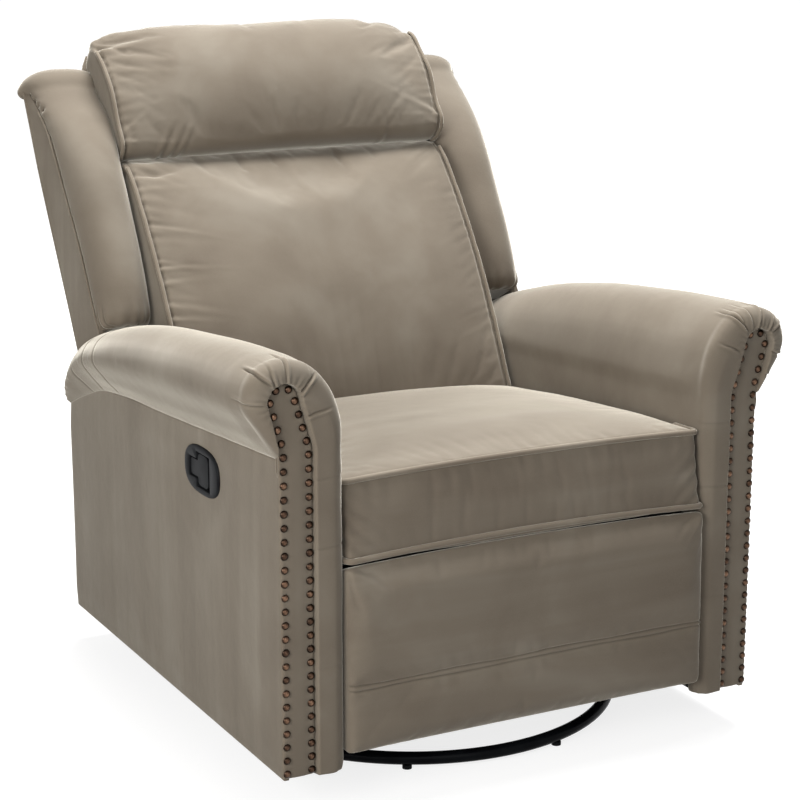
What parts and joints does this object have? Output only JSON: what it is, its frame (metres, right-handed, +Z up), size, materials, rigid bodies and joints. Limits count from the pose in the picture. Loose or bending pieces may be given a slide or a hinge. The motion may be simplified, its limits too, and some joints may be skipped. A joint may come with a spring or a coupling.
{
  "type": "swivel recliner",
  "caption": "Upholstered swivel recliner with rolled nail-trimmed arms, a winged reclining back, a pop-up linkage footrest and a round tube base.",
  "frame": {"origin": "on the floor, under the middle of the chair's bounding box", "axes": "+Z up, the chair faces -Y, the sitter's left hand is towards +X"},
  "size_m": [0.8588, 0.9843, 1.0073],
  "materials": {
    "velvet": "taupe velvet with a soft sheen and brushed nap",
    "frame_wood": "unfinished frame timber and plywood",
    "black_tube": "gloss black paint",
    "black_steel": "satin black paint on pressed steel",
    "zinc_steel": "zinc plated steel",
    "spring_steel": "oiled spring wire",
    "bronze_nail": "antique bronze, worn bright on the domes",
    "black_plastic": "fine-grained black moulding",
    "black_rubber": "matt black rubber"
  },
  "bodies": {
    "base": {"base_ring": "black_tube", "base_spider": "black_tube", "floor_glides": "black_rubber", "swivel_lower_plate": "zinc_steel", "swivel_balls": "zinc_steel", "swivel_cage": "zinc_steel", "swivel_bolt": "zinc_steel"},
    "chassis": {"swivel_upper_plate": "zinc_steel", "base_rails": "frame_wood", "arm_frame_left": "frame_wood", "arm_frame_right": "frame_wood", "outer_side_left": "velvet", "outer_side_right": "velvet", "inner_side_left": "velvet", "inner_side_right": "velvet", "arm_roll_left": "velvet", "arm_roll_right": "velvet", "arm_front_left": "velvet", "arm_front_right": "velvet", "arm_facing_left": "velvet", "arm_facing_right": "velvet", "facing_nails": "bronze_nail", "rear_apron": "velvet", "seat_front_rail": "frame_wood", "seat_rear_rail": "frame_wood", "seat_side_rails": "frame_wood", "seat_springs": "spring_steel", "seat_cushion": "velvet", "mech_plate_left": "black_steel", "mech_plate_right": "black_steel", "frame_pivot_pins": "zinc_steel", "release_bezel": "black_plastic"},
    "front_links": {"front_link_left": "black_steel", "front_link_right": "black_steel", "front_link_pins": "zinc_steel"},
    "rear_links": {"rear_link_left": "black_steel", "rear_link_right": "black_steel", "rear_link_pins": "zinc_steel", "drive_tube": "zinc_steel"},
    "lower_links": {"lower_link_left": "black_steel", "lower_link_right": "black_steel", "lower_link_pins": "zinc_steel"},
    "upper_links": {"upper_link_left": "black_steel", "upper_link_right": "black_steel", "upper_link_pins": "zinc_steel"},
    "footrest": {"footrest_bracket_left": "black_steel", "footrest_bracket_right": "black_steel", "footrest_board": "frame_wood", "footrest_pad": "velvet"},
    "back": {"back_frame": "frame_wood", "back_panel": "velvet", "lumbar_cushion": "velvet", "head_pillow": "velvet", "wing_pad_left": "velvet", "wing_pad_right": "velvet", "wing_board_left": "velvet", "wing_board_right": "velvet", "back_bracket_left": "black_steel", "back_bracket_right": "black_steel"},
    "lever": {"release_lever": "black_plastic"}
  },
  "joints": [
    {"name": "seat_swivel", "type": "hinge", "parent": "base", "child": "chassis", "pos_m": [0, -0.125, 0.0745], "axis": [0, 0, 1], "continuous": true},
    {"name": "back_recline", "type": "hinge", "parent": "chassis", "child": "back", "pos_m": [0, 0.19431, 0.37239], "axis": [-1, 0, 0], "range_deg": [0, 30]},
    {"name": "footrest_lift", "type": "hinge", "parent": "chassis", "child": "front_links", "pos_m": [0, -0.33, 0.29], "axis": [-1, 0, 0], "range_deg": [0, 90]},
    {"name": "rear_link_turn", "type": "hinge", "parent": "chassis", "child": "rear_links", "pos_m": [0, -0.28, 0.27], "axis": [-1, 0, 0], "range_deg": [0, 90]},
    {"name": "lower_link_turn", "type": "hinge", "parent": "front_links", "child": "lower_links", "pos_m": [0, -0.293, 0.104], "axis": [-1, 0, 0], "range_deg": [-90, 0]},
    {"name": "upper_link_turn", "type": "hinge", "parent": "front_links", "child": "upper_links", "pos_m": [0, -0.3078, 0.1784], "axis": [-1, 0, 0], "range_deg": [-90, 0]},
    {"name": "footrest_turn", "type": "hinge", "parent": "lower_links", "child": "footrest", "pos_m": [0, -0.4, 0.25], "axis": [-1, 0, 0], "range_deg": [0, 90]},
    {"name": "release_pull", "type": "hinge", "parent": "chassis", "child": "lever", "pos_m": [-0.374, -0.183, 0.428], "axis": [0, 0, -1], "range_deg": [0, 25], "stiffness_Nm_per_rad": 0.3, "springref_deg": -17.19}
  ],
  "couplings": [
    {"joint": "rear_link_turn", "follows": "footrest_lift", "ratio": 1},
    {"joint": "lower_link_turn", "follows": "footrest_lift", "ratio": -1},
    {"joint": "upper_link_turn", "follows": "footrest_lift", "ratio": -1},
    {"joint": "footrest_turn", "follows": "footrest_lift", "ratio": 1}
  ]
}
